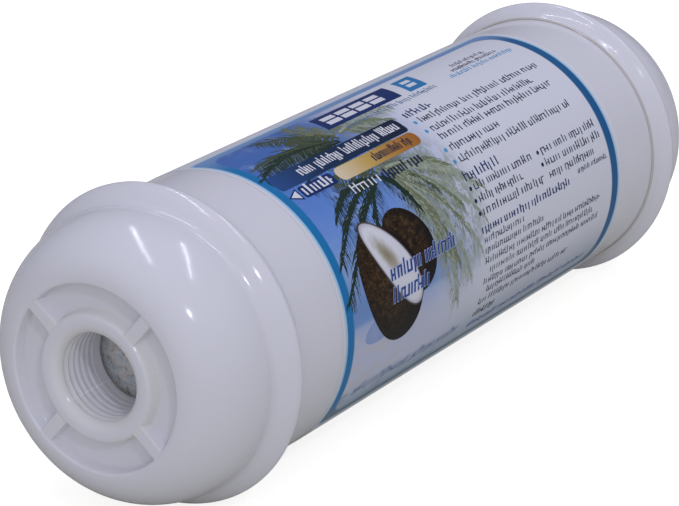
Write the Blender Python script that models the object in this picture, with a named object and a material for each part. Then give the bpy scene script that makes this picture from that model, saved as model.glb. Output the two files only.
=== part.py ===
"""Inline water filter cartridge: a spin-welded tube with two threaded caps, a label and its filter bed.

The filter lies along X on the plane z = 0. The outlet is at -X and the inlet at +X.
A turned piece is drawn as a closed outline of (depth, radius) points in millimetres. Depth runs
along X from the outer face of the nearer cap towards the middle of the filter.
"""

import math

import bmesh
import bpy
from mathutils import Matrix, Vector

MM = 0.001
SEGMENTS = 36  # facets round every turned piece; one of them lies flat on the floor
GAP = 0.3  # clearance between neighbouring pieces
SHARP_ANGLE = 32  # degrees between faces above which an edge is shaded sharp

# Overall
LENGTH = 174.0
BODY_RADIUS = 26.0
WALL = 3.0
FLANGE_RADIUS = 28.8
HALF_LENGTH = LENGTH / 2
AXIS_HEIGHT = FLANGE_RADIUS * math.cos(math.pi / SEGMENTS)

# Cap, outside
DOME_RADIUS = 25.8
DOME_START_RADIUS = 17.0
DOME_DEPTH = 13.0
DOME_POWER = 1.85
DOME_STATIONS = (0, 0.3, 1.2, 2.8, 5.0, 7.6, 10.4, DOME_DEPTH)
FLANGE_CURVE = (  # (depth, radius) from the valley behind the dome over the flange's front
    (14.8, 25.65),
    (15.8, 26.5),
    (16.7, 27.5),
    (17.7, 28.3),
    (18.6, FLANGE_RADIUS),
    (19.2, 28.65),
)
SKIRT_CURVE = ((20.1, 27.85), (21.0, 27.0))  # behind the flange, down to the lip
CAP_DEPTH = 22.4
LIP_THICKNESS = 0.6
LIP_ROUND = 0.3

# Cap, weld socket and inner cavity
SOCKET_DEPTH = 17.0
SPIGOT_WALL = 1.8
SPIGOT_DEPTH = 22.0
CAVITY_FLOOR = 5.6
CAVITY_SHOULDER = 12.0
CAVITY_SLOPE = (8.6, 19.6)  # (depth, radius) half way up the cavity's shoulder
PORT_SLEEVE_ROOT = 11.5  # radius of the port's sleeve where it leaves the cavity floor
PORT_SLEEVE_TIP = 10.5

# Threaded port: 3/8-18 NPT female, drawn at its minor diameter
HUB_RADIUS = 11.1
PORT_MOUTH_RADIUS = 8.5
PORT_CHAMFER_DEPTH = 0.9
PORT_OUTER_RADIUS = 7.65
PORT_INNER_RADIUS = 7.1
PORT_DEPTH = 11.7

# Four weight-saving pockets round the hub, parted by ribs
POCKET_RADIUS = 16.5
POCKET_DEPTH = 2.4
POCKET_DRAFT = 0.25
FACE_RIBS = 4
FACE_RIB_WIDTH = 2.4
FACE_RIB_ANGLE = 40.5
FACE_RIB_SINK = 0.15  # the ribs stop this far below the hub's face
RIB_OVERLAP = 0.8

# Ribs inside the cap, which hold the bed off the port
SEAT_RIBS = 8
SEAT_RIB_WIDTH = 1.6
SEAT_RIB_INNER_RADIUS = 10.4
SEAT_RIB_OUTER_RADIUS = 20.4
SEAT_DEPTH = 14.0

# Label
LABEL_START = -51.5
LABEL_END = 51.5
LABEL_THICKNESS = 0.2
LABEL_SEAM = 3.0
LABEL_SEAM_ANGLE = -34.0  # the seam is at the back, low down

# Filter bed, as depths below the cap face on its own side
FOAM_RADIUS = 20.5
OUTLET_FOAM = (SEAT_DEPTH + GAP, 22.0)
SPREADER = (SEAT_DEPTH + GAP, 16.3)
INLET_FOAM = (16.6, 22.0)
BED_RADIUS = BODY_RADIUS - WALL - GAP
FELT = (22.3, 26.3)
SCREEN = (26.6, 27.2)
CARBON_DEPTH = 27.5
CARBON_INLET_DEPTH = 26.6

# Spreader plate holes: rings of (hole count, ring radius)
SPREADER_RINGS = ((1, 0.0), (6, 5.2), (12, 10.4), (18, 15.6))
SPREADER_HOLE_RADIUS = 1.1
SPREADER_HOLE_SIDES = 8

OUTLET, INLET = -1, 1


def material(name, color, roughness, metallic=0.0):
    made = bpy.data.materials.new(name)
    made.use_nodes = True
    shader = made.node_tree.nodes["Principled BSDF"]
    shader.inputs["Base Color"].default_value = (*color, 1.0)
    shader.inputs["Roughness"].default_value = roughness
    shader.inputs["Metallic"].default_value = metallic
    made.diffuse_color = (*color, 1.0)
    return made


def clear_scene():
    for found in list(bpy.data.objects):
        bpy.data.objects.remove(found, do_unlink=True)


def arc_radius(depth):
    """Radius of the dome's superellipse at a depth below the face."""
    across = (DOME_DEPTH - depth) / DOME_DEPTH
    rise = (1 - across**DOME_POWER) ** (1 / DOME_POWER)
    return DOME_START_RADIUS + (DOME_RADIUS - DOME_START_RADIUS) * rise


def dome_outline():
    """The cap's outer surface, from the pocket's rim over the dome to the back of the flange."""
    dome = [(depth, arc_radius(depth)) for depth in DOME_STATIONS]
    return [(0, POCKET_RADIUS)] + dome + list(FLANGE_CURVE)


def cap_outline():
    """Closed outline of a cap, from the pocket round the outside, through the socket and back up the port."""
    lip_radius = BODY_RADIUS + GAP
    spigot_outer = BODY_RADIUS - WALL - GAP
    spigot_inner = spigot_outer - SPIGOT_WALL
    lip = [
        (CAP_DEPTH - LIP_ROUND, lip_radius + LIP_THICKNESS),
        (CAP_DEPTH, lip_radius + LIP_THICKNESS / 2),
        (CAP_DEPTH, lip_radius),
    ]
    socket = [
        (SOCKET_DEPTH, lip_radius),
        (SOCKET_DEPTH, spigot_outer),
        (SPIGOT_DEPTH, spigot_outer),
        (SPIGOT_DEPTH, spigot_inner),
    ]
    cavity = [
        (CAVITY_SHOULDER, spigot_inner),
        CAVITY_SLOPE,
        (CAVITY_FLOOR, POCKET_RADIUS),
        (CAVITY_FLOOR, PORT_SLEEVE_ROOT),
        (PORT_DEPTH, PORT_SLEEVE_TIP),
    ]
    port = [
        (PORT_DEPTH, PORT_INNER_RADIUS),
        (PORT_CHAMFER_DEPTH, PORT_OUTER_RADIUS),
        (0, PORT_MOUTH_RADIUS),
    ]
    pocket = [
        (0, HUB_RADIUS),
        (POCKET_DEPTH, HUB_RADIUS + POCKET_DRAFT),
        (POCKET_DEPTH, POCKET_RADIUS - POCKET_DRAFT),
    ]
    return dome_outline() + list(SKIRT_CURVE) + lip + socket + cavity + port + pocket


def ring_outline(start, end, inner, outer):
    return [(start, outer), (end, outer), (end, inner), (start, inner)]


def disc_outline(start, end, radius):
    return [(start, 0), (start, radius), (end, radius), (end, 0)]


def to_object(name, mesh_data, finish_material):
    """Closes a bmesh into a new object on the filter's axis, faces pointing out, shaded smooth."""
    bmesh.ops.remove_doubles(mesh_data, verts=mesh_data.verts, dist=1e-6)
    bmesh.ops.dissolve_degenerate(mesh_data, edges=mesh_data.edges, dist=1e-7)
    bmesh.ops.recalc_face_normals(mesh_data, faces=mesh_data.faces)
    mesh = bpy.data.meshes.new(name)
    mesh_data.to_mesh(mesh)
    mesh_data.free()
    mesh.shade_smooth()
    mesh.set_sharp_from_angle(angle=math.radians(SHARP_ANGLE))
    mesh.materials.append(finish_material)
    made = bpy.data.objects.new(name, mesh)
    made.location.z = AXIS_HEIGHT * MM
    bpy.context.scene.collection.objects.link(made)
    return made


def turned(name, outline, side, finish_material):
    """Spins (depth, radius) points a full turn round X. An outline that starts and ends on the axis is a disc."""
    mesh_data = bmesh.new()
    first_turn = Matrix.Rotation(math.pi / SEGMENTS, 3, "X")
    points = [Vector((side * (HALF_LENGTH - depth), 0, radius)) * MM for depth, radius in outline]
    section = [mesh_data.verts.new(first_turn @ point) for point in points]
    edges = [mesh_data.edges.new(pair) for pair in zip(section, section[1:])]
    if outline[0][1] > 0:
        edges.append(mesh_data.edges.new((section[-1], section[0])))
    bmesh.ops.spin(
        mesh_data,
        geom=section + edges,
        cent=(0, 0, 0),
        axis=(1, 0, 0),
        angle=2 * math.pi,
        steps=SEGMENTS,
    )
    return to_object(name, mesh_data, finish_material)


def box_along(name, low, high, angle, finish_material):
    """A box between two (x, across, radius) corners in millimetres, turned round X to an angle."""
    mesh_data = bmesh.new()
    size = Vector(high) - Vector(low)
    middle = (Vector(high) + Vector(low)) / 2
    scale = Matrix.Diagonal((*(size * MM), 1))
    turn = Matrix.Rotation(angle, 4, "X")
    bmesh.ops.create_cube(
        mesh_data, size=1, matrix=turn @ Matrix.Translation(middle * MM) @ scale
    )
    return to_object(name, mesh_data, finish_material)


def combine(target, tool, operation):
    """Applies an exact Boolean of one object to another, and hides the tool."""
    cut = target.modifiers.new(tool.name, "BOOLEAN")
    cut.object = tool
    cut.operation = operation
    cut.solver = "EXACT"
    tool.hide_render = True
    tool.display_type = "WIRE"


def radial_ribs(target, label, count, width, radii, depths, first_angle, side, finish_material):
    """Joins a cap to a set of flat ribs that run outwards from its hub."""
    ends = sorted(side * (HALF_LENGTH - depth) for depth in depths)
    for index in range(count):
        rib = box_along(
            f"{target.name}_{label}_{index + 1}",
            (ends[0], -width / 2, radii[0]),
            (ends[1], width / 2, radii[1]),
            first_angle + index * 2 * math.pi / count,
            finish_material,
        )
        combine(target, rib, "UNION")


def make_cap(name, side, plastic):
    cap = turned(name, cap_outline(), side, plastic)
    radial_ribs(
        cap,
        "face_rib",
        FACE_RIBS,
        FACE_RIB_WIDTH,
        (HUB_RADIUS - RIB_OVERLAP, POCKET_RADIUS + RIB_OVERLAP),
        (FACE_RIB_SINK, POCKET_DEPTH + RIB_OVERLAP),
        math.radians(FACE_RIB_ANGLE - 90),
        side,
        plastic,
    )
    radial_ribs(
        cap,
        "seat_rib",
        SEAT_RIBS,
        SEAT_RIB_WIDTH,
        (SEAT_RIB_INNER_RADIUS, SEAT_RIB_OUTER_RADIUS),
        (CAVITY_FLOOR - RIB_OVERLAP, SEAT_DEPTH),
        0,
        side,
        plastic,
    )
    return cap


def make_housing_tube(plastic):
    end = SOCKET_DEPTH + GAP
    outline = ring_outline(end, LENGTH - end, BODY_RADIUS - WALL, BODY_RADIUS)
    return turned("housing_tube", outline, OUTLET, plastic)


def make_label(vinyl):
    """The printed sleeve: a thin sheet round the tube, its two ends parted by a narrow seam."""
    inner = BODY_RADIUS + GAP
    corners = [
        (LABEL_START, inner),
        (LABEL_START, inner + LABEL_THICKNESS),
        (LABEL_END, inner + LABEL_THICKNESS),
        (LABEL_END, inner),
    ]
    seam = LABEL_SEAM / BODY_RADIUS
    start = Matrix.Rotation(math.radians(LABEL_SEAM_ANGLE - 90) + seam / 2, 3, "X")
    mesh_data = bmesh.new()
    section = [mesh_data.verts.new(start @ (Vector((x, 0, radius)) * MM)) for x, radius in corners]
    edge_face = mesh_data.faces.new(section)
    bmesh.ops.spin(
        mesh_data,
        geom=section + list(edge_face.edges) + [edge_face],
        cent=(0, 0, 0),
        axis=(1, 0, 0),
        angle=2 * math.pi - seam,
        steps=SEGMENTS,
        use_duplicate=False,
    )
    return to_object("label", mesh_data, vinyl)


def make_spreader_plate(plastic):
    """The perforated plate that spreads the inlet jet over the whole bed."""
    plate = turned("inlet_spreader_plate", disc_outline(*SPREADER, FOAM_RADIUS), INLET, plastic)
    drill = bmesh.new()
    middle = HALF_LENGTH - sum(SPREADER) / 2
    across = Matrix.Rotation(math.pi / 2, 4, "Y")
    for count, ring_radius in SPREADER_RINGS:
        for index in range(count):
            turn = Matrix.Rotation(2 * math.pi * index / count, 4, "X")
            place = turn @ Matrix.Translation(Vector((middle, 0, ring_radius)) * MM) @ across
            bmesh.ops.create_cone(
                drill,
                cap_ends=True,
                segments=SPREADER_HOLE_SIDES,
                radius1=SPREADER_HOLE_RADIUS * MM,
                radius2=SPREADER_HOLE_RADIUS * MM,
                depth=2 * (SPREADER[1] - SPREADER[0]) * MM,
                matrix=place,
            )
    combine(plate, to_object("spreader_drill", drill, plastic), "DIFFERENCE")
    return plate


def make_filter_bed():
    foam = material("foam", (0.16, 0.165, 0.17), 0.95)
    felt = material("felt", (0.80, 0.79, 0.76), 0.95)
    mesh_cloth = material("mesh_cloth", (0.72, 0.74, 0.76), 0.6)
    carbon = material("carbon", (0.018, 0.018, 0.019), 0.9)
    turned("outlet_foam_pad", disc_outline(*OUTLET_FOAM, FOAM_RADIUS), OUTLET, foam)
    turned("outlet_felt_pad", disc_outline(*FELT, BED_RADIUS), OUTLET, felt)
    turned("outlet_mesh_screen", disc_outline(*SCREEN, BED_RADIUS), OUTLET, mesh_cloth)
    turned("carbon_bed", disc_outline(CARBON_DEPTH, LENGTH - CARBON_INLET_DEPTH, BED_RADIUS), OUTLET, carbon)
    turned("inlet_felt_pad", disc_outline(*FELT, BED_RADIUS), INLET, felt)
    turned("inlet_foam_pad", disc_outline(*INLET_FOAM, FOAM_RADIUS), INLET, foam)


def main():
    clear_scene()
    polypropylene = material("polypropylene", (0.70, 0.70, 0.76), 0.33)
    vinyl = material("vinyl", (0.62, 0.68, 0.82), 0.4)
    make_housing_tube(polypropylene)
    make_cap("outlet_cap", OUTLET, polypropylene)
    make_cap("inlet_cap", INLET, polypropylene)
    make_label(vinyl)
    make_spreader_plate(polypropylene)
    make_filter_bed()


main()
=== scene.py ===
"""Inline water filter: the visible model and its studio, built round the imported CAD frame."""

import math
import random

import bmesh
import bpy
from mathutils import Matrix, Vector, noise


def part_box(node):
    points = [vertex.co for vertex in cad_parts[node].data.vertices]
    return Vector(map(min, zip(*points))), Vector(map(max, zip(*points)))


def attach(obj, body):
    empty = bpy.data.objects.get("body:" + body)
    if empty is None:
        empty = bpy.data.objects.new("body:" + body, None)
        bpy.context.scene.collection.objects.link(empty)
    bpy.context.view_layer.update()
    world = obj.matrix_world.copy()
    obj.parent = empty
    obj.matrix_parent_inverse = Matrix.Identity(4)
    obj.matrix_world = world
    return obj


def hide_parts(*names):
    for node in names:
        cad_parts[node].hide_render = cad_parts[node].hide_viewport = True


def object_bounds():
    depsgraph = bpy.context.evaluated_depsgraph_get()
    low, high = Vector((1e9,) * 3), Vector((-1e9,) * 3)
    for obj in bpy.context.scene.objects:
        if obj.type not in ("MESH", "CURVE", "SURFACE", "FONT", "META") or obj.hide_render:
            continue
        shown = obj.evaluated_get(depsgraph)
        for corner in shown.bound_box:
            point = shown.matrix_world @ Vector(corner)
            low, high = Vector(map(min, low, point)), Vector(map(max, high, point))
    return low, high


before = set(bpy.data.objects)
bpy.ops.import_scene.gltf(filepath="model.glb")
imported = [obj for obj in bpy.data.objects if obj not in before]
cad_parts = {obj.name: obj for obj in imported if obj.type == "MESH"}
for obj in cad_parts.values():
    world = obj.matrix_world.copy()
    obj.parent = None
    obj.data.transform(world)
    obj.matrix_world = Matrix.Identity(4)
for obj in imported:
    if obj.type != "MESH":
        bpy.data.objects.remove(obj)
CAD_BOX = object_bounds()

bl_info = {
    "name": "Inline Water Filter",
    "version": (1, 0, 0),
    "blender": (4, 5, 0),
    "location": "View3D > Sidebar > Filter",
    "description": "Builds an inline water filter cartridge, its label, its filter bed and a studio",
    "category": "Add Mesh",
}

MM = 0.001
FACETS = 36  # the frame's turned pieces have this many flat sides


def span(node):
    """The two ends of a CAD node along the filter, in millimetres."""
    low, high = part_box(node)
    return low[0] / MM, high[0] / MM


def radius_of(node):
    """The radius of a turned CAD node, in millimetres, at the corners of its facets."""
    low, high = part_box(node)
    return (high[2] - low[2]) / 2 / MM / math.cos(math.pi / FACETS)


AXIS_HEIGHT = (CAD_BOX[0][2] + CAD_BOX[1][2]) / 2
HALF_LENGTH = (CAD_BOX[1][0] - CAD_BOX[0][0]) / 2 / MM
REST_RADIUS = AXIS_HEIGHT / MM
BODY_RADIUS = radius_of("housing_tube")
OUTLET, INLET = -1, 1

# The cap's profile as (depth below its face, radius) in millimetres
DOME_START, DOME_RISE, DOME_DEPTH, DOME_POWER = 17.0, 8.8, 13.0, 1.85
FACE_EDGE = 16.85  # where the flat ring round the pockets starts to turn into the dome
FLANGE_CURVE = (
    (DOME_DEPTH, 25.8), (13.5, 25.76), (14.0, 25.74), (14.5, 25.84), (14.95, 26.08), (15.4, 26.46),
    (15.8, 26.88), (16.3, 27.38), (16.8, 27.82), (17.3, 28.18), (17.75, 28.45), (18.15, 28.62),
    (18.55, REST_RADIUS), (18.95, 28.58), (19.4, 28.25), (19.85, 27.82), (20.3, 27.4), (20.85, 27.02),
    (21.5, 26.7), (22.05, 26.42), (22.4, 26.12),
)
SOCKET_CURVE = (
    (22.38, 26.05), (22.2, 26.01), (21.0, 26.01), (17.0, 26.01), (17.0, 22.7), (21.7, 22.7), (22.0, 22.4),
    (22.0, 20.9), (12.0, 20.9), (10.4, 20.5), (8.6, 19.6), (6.4, 17.9), (5.6, 16.5), (5.6, 11.5),
    (11.4, 10.5), (11.7, 10.2),
)
HUB_RADIUS, POCKET_RADIUS, POCKET_DEPTH = 11.1, 16.5, 2.4  # the hub, and the pockets' outer wall and floor
RIB_SINK = 0.15  # how far the face ribs lie below the cap's face
RIB_ANGLE = 40.5  # degrees from +Y to the first face rib
NARROWEST, WIDEST = HUB_RADIUS - 1.5, POCKET_RADIUS + 1.0  # radii between which columns run beside a rib
MOUTH_RADIUS, MOUTH_DEPTH = 9.85, 2.1  # the port's rounded mouth
PARTING_ANGLE = -43.0  # degrees from +Y to the mould's parting line
BORE_START, BORE_END, PORT_DEPTH = 7.65, 7.1, 11.7  # radii of the tapered bore at its two ends, and its depth
THREAD_START = 0.12  # depth of the first row of the threaded bore
THREAD_IN, THREAD_OUT = (1.3, 2.5), (11.6, 10.4)  # depths where it starts to show and is whole, at each end
ROWS_PER_TURN = 16  # rows of points along one turn of the thread
SEAT_RIBS, SEAT_DEPTHS, SEAT_RADII, SEAT_HALF = 8, (4.9, 14.0), (10.4, 20.4), 0.8  # ribs that hold the pads

# The walls of the pockets: how much of its full depth a pocket has at each radius, from the hub outward,
# and at each distance from the middle of a face rib, in millimetres
HUB_WALL = (
    (10.7, 0.0), (10.88, 0.01), (11.05, 0.05), (11.2, 0.14), (11.33, 0.32),
    (11.45, 0.62), (11.55, 0.84), (11.7, 0.96), (11.95, 1.0),
)
RIM_WALL = (
    (16.0, 1.0), (16.22, 0.985), (16.34, 0.95), (16.4, 0.88), (16.47, 0.16),
    (16.5, 0.07), (16.55, 0.025), (16.66, 0.004), (FACE_EDGE, 0.0),
)
RIB_WALL = (
    (1.02, 0.0), (1.10, 0.012), (1.16, 0.05), (1.20, 0.14), (1.235, 0.5),
    (1.29, 0.86), (1.36, 0.96), (1.46, 0.99), (1.62, 1.0),
)

# The label
LABEL_LOW, LABEL_HIGH = span("label")
LABEL_RADIUS = 26.0  # for lengths measured round the label
SEAM_ANGLE, SEAM_GAP = -34.0, 3.0  # degrees from +Y to the gap between the label's ends, and its width
PANEL_MIDDLE = 148.0  # degrees round the tube from +Y towards +Z, where the printed panel is centred
DEGREE = math.pi / 180 * LABEL_RADIUS  # millimetres round the label to a degree
INK_SPECULAR, INK_ROUGHNESS = 0.1, 0.38


# ---------------------------------------------------------------- settings


def length(name, description, default):
    """A length setting, from its default in millimetres."""
    return bpy.props.FloatProperty(
        name=name,
        description=description,
        default=default * MM,
        min=0.0,
        subtype="DISTANCE",
        unit="LENGTH",
        precision=5,
    )


def colour(name, description, default):
    """A colour setting."""
    return bpy.props.FloatVectorProperty(
        name=name,
        description=description,
        default=default,
        size=3,
        min=0.0,
        max=1.0,
        subtype="COLOR",
    )


def number(name, description, default, top=1.0):
    """A plain number setting from 0 to top."""
    return bpy.props.FloatProperty(name=name, description=description, default=default, min=0.0, max=top)


class ShellSettings(bpy.types.PropertyGroup):
    """The moulded caps and tube."""

    plastic: colour("Plastic", "Colour of the moulded polypropylene", (0.80, 0.80, 0.815))
    gloss: number("Roughness", "Roughness of the moulded surface", 0.13)
    thread_pitch: length("Thread Pitch", "Distance between two turns of the port's thread", 25.4 / 18)
    thread_depth: length("Thread Depth", "How far the thread is cut into the port's wall", 0.62)
    wall: length("Tube Wall", "Wall thickness of the housing tube", 3.0)


class LabelSettings(bpy.types.PropertyGroup):
    """The printed vinyl label."""

    vinyl: colour("Vinyl", "Colour of the unprinted label", (0.79, 0.80, 0.825))
    frame_blue: colour("Frame", "Colour of the printed frame", (0.012, 0.20, 0.46))
    navy: colour("Navy Ink", "Colour of the title bars and headings", (0.012, 0.035, 0.15))
    text: colour("Text Ink", "Colour of the small print", (0.02, 0.03, 0.07))
    amber: colour("Amber Ink", "Colour of the capsule's strong end", (0.40, 0.15, 0.03))
    film: length("Thickness", "Thickness of the label film", 0.04)


class BedSettings(bpy.types.PropertyGroup):
    """What fills the filter."""

    foam: colour("Foam", "Colour of the foam pads", (0.94, 0.94, 0.93))
    felt: colour("Felt", "Colour of the felt pads", (0.62, 0.61, 0.56))
    carbon: colour("Carbon", "Colour of the activated carbon", (0.018, 0.018, 0.02))
    grain: length("Grain Size", "Size of one carbon granule", 1.3)
    wire: length("Wire", "Thickness of one thread of the screen", 0.3)
    wire_pitch: length("Wire Pitch", "Distance between two threads of the screen", 1.2)


class StageSettings(bpy.types.PropertyGroup):
    """The floor, the lights and the camera."""

    floor: colour("Floor", "Colour of the floor", (0.62, 0.615, 0.53))
    fill: number("Fill", "Brightness of the studio's walls on the camera's side", 0.51, 10.0)
    dusk: number("Shade", "Brightness of the studio's walls on the far side", 0.22, 10.0)
    lift: number("Floor Lift", "Extra brightness of the floor where the camera sees it directly", 0.80, 10.0)
    tint: colour("Light Colour", "Colour of the studio's light", (0.83, 0.835, 1.0))
    strip: number("Strips", "Power of each ceiling strip in watts", 3.6, 1000.0)
    front: number("Front Fill", "Power of the large soft front light in watts", 5.2, 50.0)
    flash: number("Flash", "Power of the small front light in watts", 4.0, 1000.0)
    lens: number("Lens", "Focal length in millimetres", 148.05, 1000.0)


# ---------------------------------------------------------------- shader maths


class Wire:
    """A node's output socket. Arithmetic on it adds Math nodes."""

    def __init__(self, finish, socket):
        self.finish, self.socket = finish, socket

    def math(self, operation, *values):
        """A Math node on these values."""
        return self.finish.add("ShaderNodeMath", {"operation": operation}, dict(enumerate(values)))

    def __add__(self, other):
        return self.math("ADD", self, other)

    def __mul__(self, other):
        return self.math("MULTIPLY", self, other)

    def __sub__(self, other):
        return self.math("SUBTRACT", self, other)

    def __truediv__(self, other):
        return self.math("DIVIDE", self, other)

    def __pow__(self, other):
        return self.math("POWER", self, other)

    def __abs__(self):
        return self.math("ABSOLUTE", self)

    def __rsub__(self, other):
        return self.math("SUBTRACT", other, self)

    def __rtruediv__(self, other):
        return self.math("DIVIDE", other, self)

    __radd__ = __add__
    __rmul__ = __mul__

    def least(self, other):
        return self.math("MINIMUM", self, other)

    def most(self, other):
        return self.math("MAXIMUM", self, other)

    def angle_from(self, other):
        """The angle, in radians, of the direction whose parts are other and this."""
        return self.math("ARCTAN2", self, other)

    def fade(self, start, end):
        """0 before start, 1 after end, and smooth between. It falls if end comes before start."""
        low, high, first = (start, end, 0.0) if start < end else (end, start, 1.0)
        return self.finish.add(
            "ShaderNodeMapRange",
            {"interpolation_type": "SMOOTHSTEP"},
            {"Value": self, "From Min": low, "From Max": high, "To Min": first, "To Max": 1.0 - first},
        )


class Finish:
    """A material, and the one method that adds any node to it."""

    def __init__(self, name, **constants):
        self.material = bpy.data.materials.new(name)
        self.material.use_nodes = True
        self.attach(self.material, "Principled BSDF")
        for socket, value in constants.items():
            self.set(socket.replace("_", " "), value)

    def attach(self, owner, shader):
        """Works on the owner's nodes; shader is the name of the node whose sockets set() fills."""
        self.tree = owner.node_tree
        self.shader = self.tree.nodes[shader]

    @classmethod
    def over(cls, owner, shader):
        """The same helpers for another node tree, such as the world's."""
        finish = cls.__new__(cls)
        finish.material = None
        finish.attach(owner, shader)
        return finish

    def set(self, name, value):
        """Gives a socket of the shader a number, a colour or a link."""
        target = self.shader.inputs[name]
        if isinstance(value, Wire):
            self.tree.links.new(value.socket, target)
        elif hasattr(value, "__len__") and target.type == "RGBA":
            target.default_value = (*value[:3], 1.0)
            if self.material:
                self.material.diffuse_color = (*value[:3], 1.0)
        else:
            target.default_value = value

    def add(self, kind, settings=None, sockets=None, out=0):
        """A new node: its settings come first, then the values and links of its sockets."""
        node = self.tree.nodes.new(kind)
        for name, value in (settings or {}).items():
            if name == "stops":
                ramp = node.color_ramp.elements
                while len(ramp) < len(value):
                    ramp.new(1.0)
                for element, (position, shade) in zip(ramp, value):
                    element.position, element.color = position, (*shade, 1.0)
            else:
                setattr(node, name, value)
        for key, value in (sockets or {}).items():
            if isinstance(value, Wire):
                self.tree.links.new(value.socket, node.inputs[key])
            elif node.inputs[key].type == "RGBA":
                node.inputs[key].default_value = (*value[:3], 1.0)
            else:
                node.inputs[key].default_value = value
        return Wire(self, node.outputs[out])

    def place(self):
        """The point being shaded, from the piece's own origin."""
        return self.add("ShaderNodeTexCoord", out="Object")

    def axes(self):
        """The point's x, y and z in millimetres."""
        point = self.place()
        split = [self.add("ShaderNodeSeparateXYZ", sockets={0: point}, out=index) for index in range(3)]
        return [axis / MM for axis in split]

    def noise(self, size, detail=2.0, rough=0.5, stretch=(1.0, 1.0, 1.0), warp=0.0):
        """Soft noise from 0 to 1 whose blobs are about size millimetres across."""
        scaled = self.add("ShaderNodeMapping", sockets={"Vector": self.place(), "Scale": stretch})
        return self.add(
            "ShaderNodeTexNoise",
            sockets={
                "Vector": scaled,
                "Scale": 1 / (size * MM),
                "Detail": detail,
                "Roughness": rough,
                "Distortion": warp,
            },
        )

    def cells(self, size, out="Distance"):
        """Cells about size millimetres across."""
        sockets = {"Vector": self.place(), "Scale": 1 / (size * MM)}
        return self.add("ShaderNodeTexVoronoi", sockets=sockets, out=out)

    def mix(self, first, second, factor):
        """The first colour where factor is 0, and the second where it is 1."""
        return self.add("ShaderNodeMix", {"data_type": "RGBA"}, {0: factor, 6: first, 7: second}, out=2)

    def ramp(self, factor, *stops):
        """A colour ramp; each stop is (position, colour)."""
        return self.add("ShaderNodeValToRGB", {"stops": stops}, {0: factor})

    def bump(self, height, distance):
        """Feeds the Normal socket. distance is in millimetres."""
        self.set("Normal", self.add("ShaderNodeBump", sockets={"Distance": distance * MM, "Height": height}))
        return self

    def recolour(self, shade, factor):
        """Mixes shade over whatever already feeds the base colour."""
        before = Wire(self, self.shader.inputs["Base Color"].links[0].from_socket)
        self.set("Base Color", self.mix(before, shade, factor))

    def vary(self, base, amount, size):
        """Base colour that drifts lighter and darker by amount over blobs of that size."""
        drift = self.noise(size, 3.0)
        dark, light = (tuple(min(1.0, c * (1 + sign * amount)) for c in base) for sign in (-1, 1))
        self.set("Base Color", self.mix(dark, light, drift))
        return self


# ---------------------------------------------------------------- mesh helpers


def add_piece(name, points, faces, finishes, slot, stands_for=(), smooth=True, face_finish=None, sharp=40.0):
    """A mesh piece from points in millimetres round the filter's axis, riding on the body.

    face_finish gives the number of each face's finish, and edges over sharp degrees stay sharp.
    """
    mesh = bpy.data.meshes.new(name)
    mesh.from_pydata([[c * MM for c in point] for point in points], [], faces)
    tidy = bmesh.new()
    tidy.from_mesh(mesh)
    if face_finish:
        tidy.faces.ensure_lookup_table()
        for face, index in zip(tidy.faces, face_finish):
            face.material_index = index
    bmesh.ops.recalc_face_normals(tidy, faces=tidy.faces)
    tidy.to_mesh(mesh)
    tidy.free()
    if smooth:
        mesh.shade_smooth()
        mesh.set_sharp_from_angle(angle=math.radians(sharp))
    for finish in finishes:
        mesh.materials.append(finish.material)
    piece = bpy.data.objects.new(name, mesh)
    piece.location.z = AXIS_HEIGHT
    bpy.context.scene.collection.objects.link(piece)
    bpy.context.view_layer.update()
    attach(piece, "root")
    if stands_for:
        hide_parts(*stands_for)
    return piece


def grid_faces(rows, columns, closed_rows=True, closed_columns=True, start=0):
    """Quads over rows x columns points that are numbered row by row."""
    last_row = rows if closed_rows else rows - 1
    last_column = columns if closed_columns else columns - 1
    return [
        (
            start + row * columns + column,
            start + row * columns + (column + 1) % columns,
            start + (row + 1) % rows * columns + (column + 1) % columns,
            start + (row + 1) % rows * columns + column,
        )
        for row in range(last_row)
        for column in range(last_column)
    ]


def round_point(x, radius, angle):
    """A point in millimetres; angle is in radians from +Y towards +Z."""
    return (x, radius * math.cos(angle), radius * math.sin(angle))


def lathe(outline, columns=144):
    """(points, faces) of a closed (x, radius) outline turned once round the axis."""
    points = [round_point(x, r, 2 * math.pi * c / columns) for x, r in outline for c in range(columns)]
    return points, grid_faces(len(outline), columns)


def smooth_curve(points, steps=3):
    """More points on a smooth curve that passes through these."""
    points = [Vector(point) for point in points]
    ends = [points[0] * 2 - points[1], *points, points[-1] * 2 - points[-2]]
    found = []
    for before, start, end, after in zip(ends, ends[1:], ends[2:], ends[3:]):
        for step in range(steps):
            t = step / steps
            found.append(
                (
                    2 * start
                    + (end - before) * t
                    + (2 * before - 5 * start + 4 * end - after) * t * t
                    + (3 * start - before - 3 * end + after) * t**3
                )
                / 2
            )
    return [tuple(point) for point in [*found, points[-1]]]


def box_faces(start):
    """Faces of a box whose eight points are two rings of four."""
    ring = [(k, (k + 1) % 4, (k + 1) % 4 + 4, k + 4) for k in range(4)]
    return [tuple(start + k for k in face) for face in [(3, 2, 1, 0), (4, 5, 6, 7), *ring]]


# ---------------------------------------------------------------- caps and tube


def plastic_finish(name, base, gloss):
    """Glossy moulded polypropylene: faint orange peel, a slow drift in colour and patchy gloss."""
    finish = Finish(name, IOR=1.49, Subsurface_Weight=0.12, Subsurface_Scale=0.002)
    finish.set("Subsurface Radius", (1.0, 0.95, 0.9))
    finish.vary(base, 0.012, 14.0)
    finish.set("Roughness", finish.noise(5.0, 3.0) * 0.06 + (gloss - 0.03))
    return finish.bump(finish.noise(2.2, 2.0), 0.006)


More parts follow.
